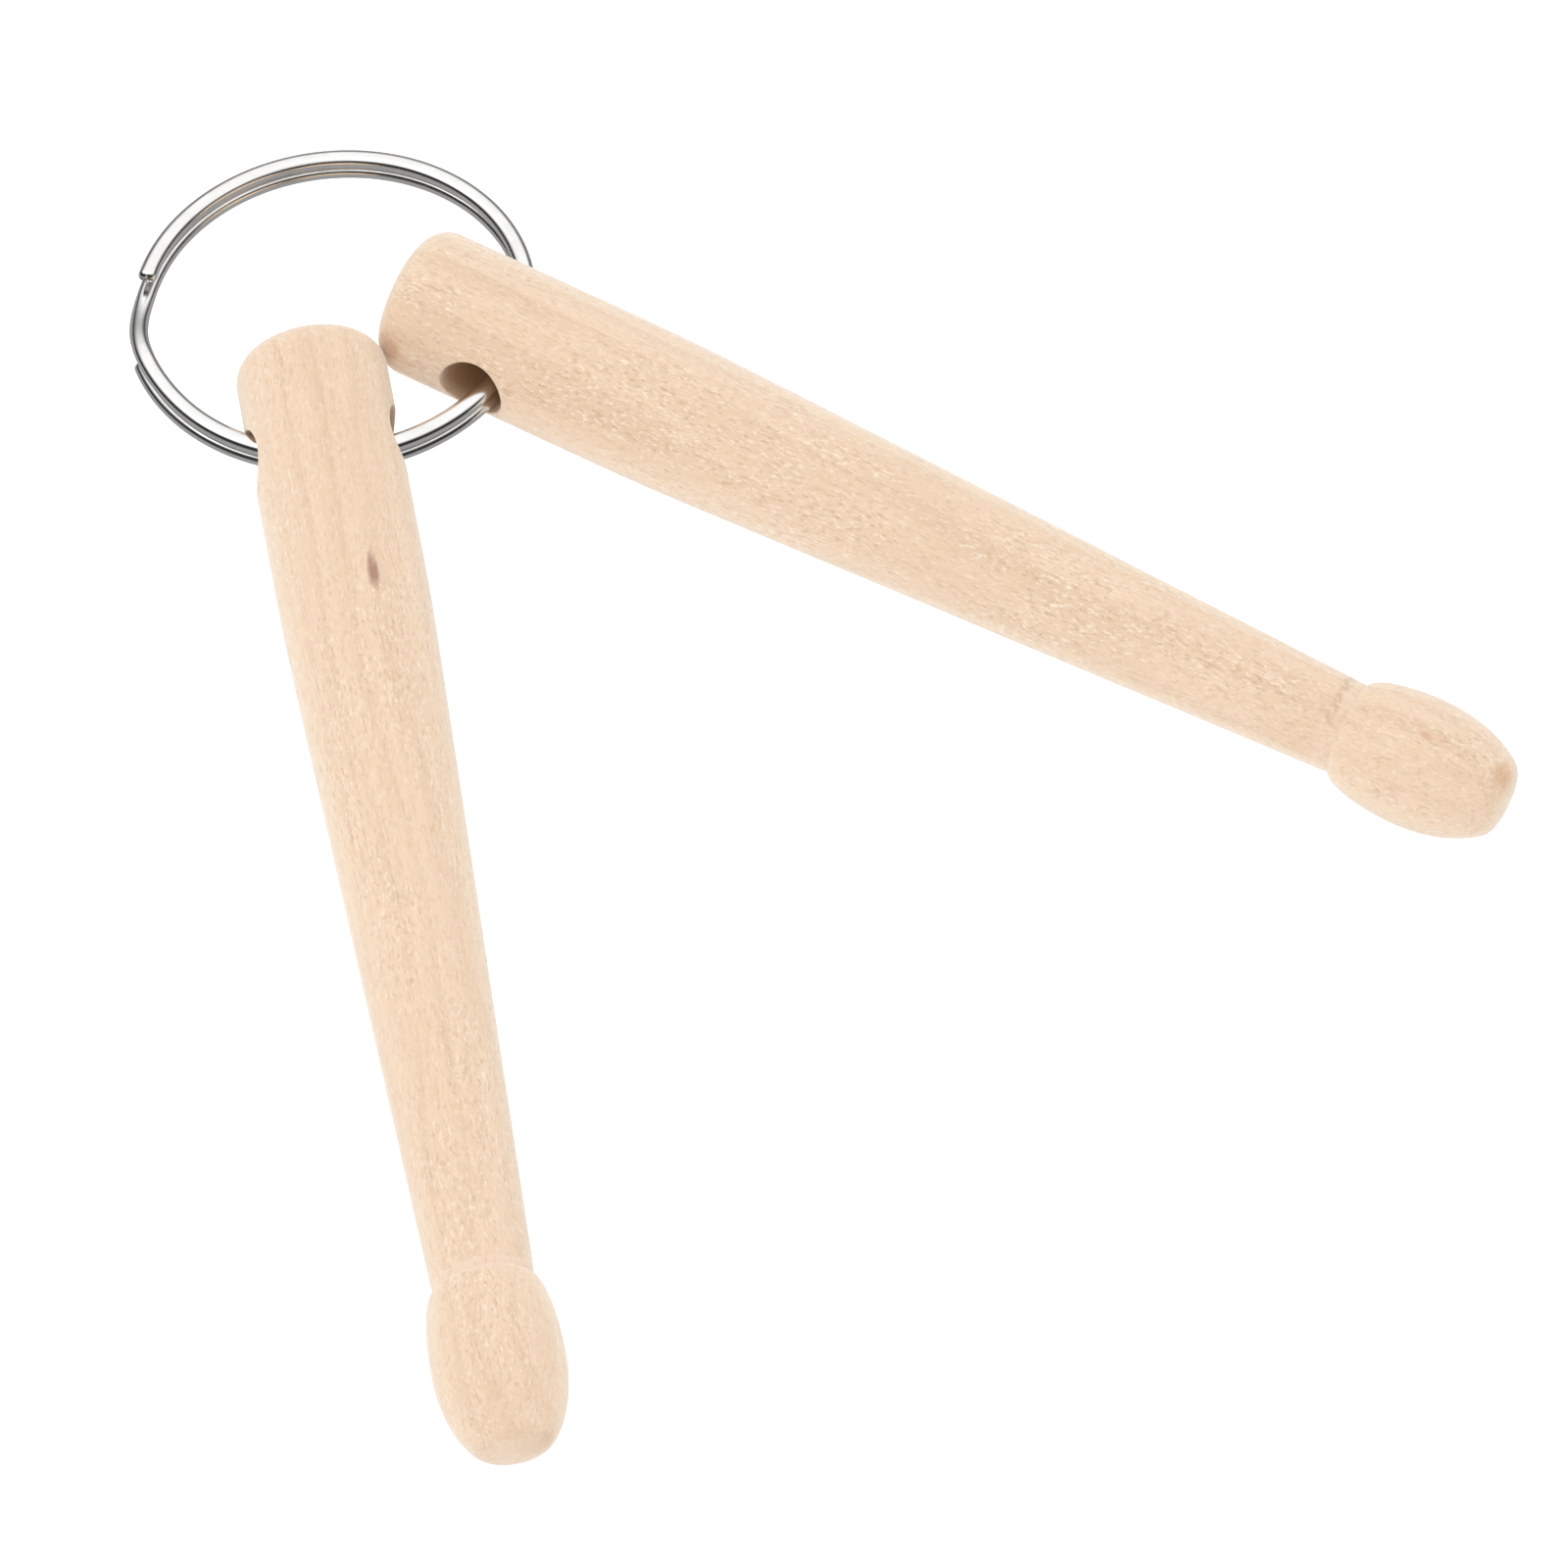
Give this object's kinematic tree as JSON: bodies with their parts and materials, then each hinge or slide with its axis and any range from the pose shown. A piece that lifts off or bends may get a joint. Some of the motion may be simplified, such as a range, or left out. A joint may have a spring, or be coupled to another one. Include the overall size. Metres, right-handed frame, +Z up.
{
  "type": "drumstick key ring",
  "caption": "Miniature turned wooden drumsticks, each drilled through near its butt and threaded on a shared steel split ring; each stick swings on the ring.",
  "frame": {"origin": "centre of the split ring, midway between its two coils", "axes": "+Z up from the surface the key ring lies on; the sticks point towards -Y and +X"},
  "size_m": [0.1017, 0.1089, 0.0114],
  "materials": {
    "stick_wood": "turned and fine-sanded pale birch or maple, bare",
    "ring_steel": "bright nickel plate on flattened spring-steel wire"
  },
  "bodies": {
    "ring": {"split_ring": "ring_steel"},
    "left_stick": {"left_stick": "stick_wood"},
    "right_stick": {"right_stick": "stick_wood"}
  },
  "joints": [
    {"name": "left_swing", "type": "hinge", "parent": "ring", "child": "left_stick", "pos_m": [-0.00027, -0.01316, 0.00194], "axis": [-0.982, -0.1851, -0.0371], "range_deg": [-80, 100]},
    {"name": "right_swing", "type": "hinge", "parent": "ring", "child": "right_stick", "pos_m": [0.0127, -0.00346, 0.00194], "axis": [-0.4507, -0.8841, 0.123], "range_deg": [-80, 100]}
  ]
}
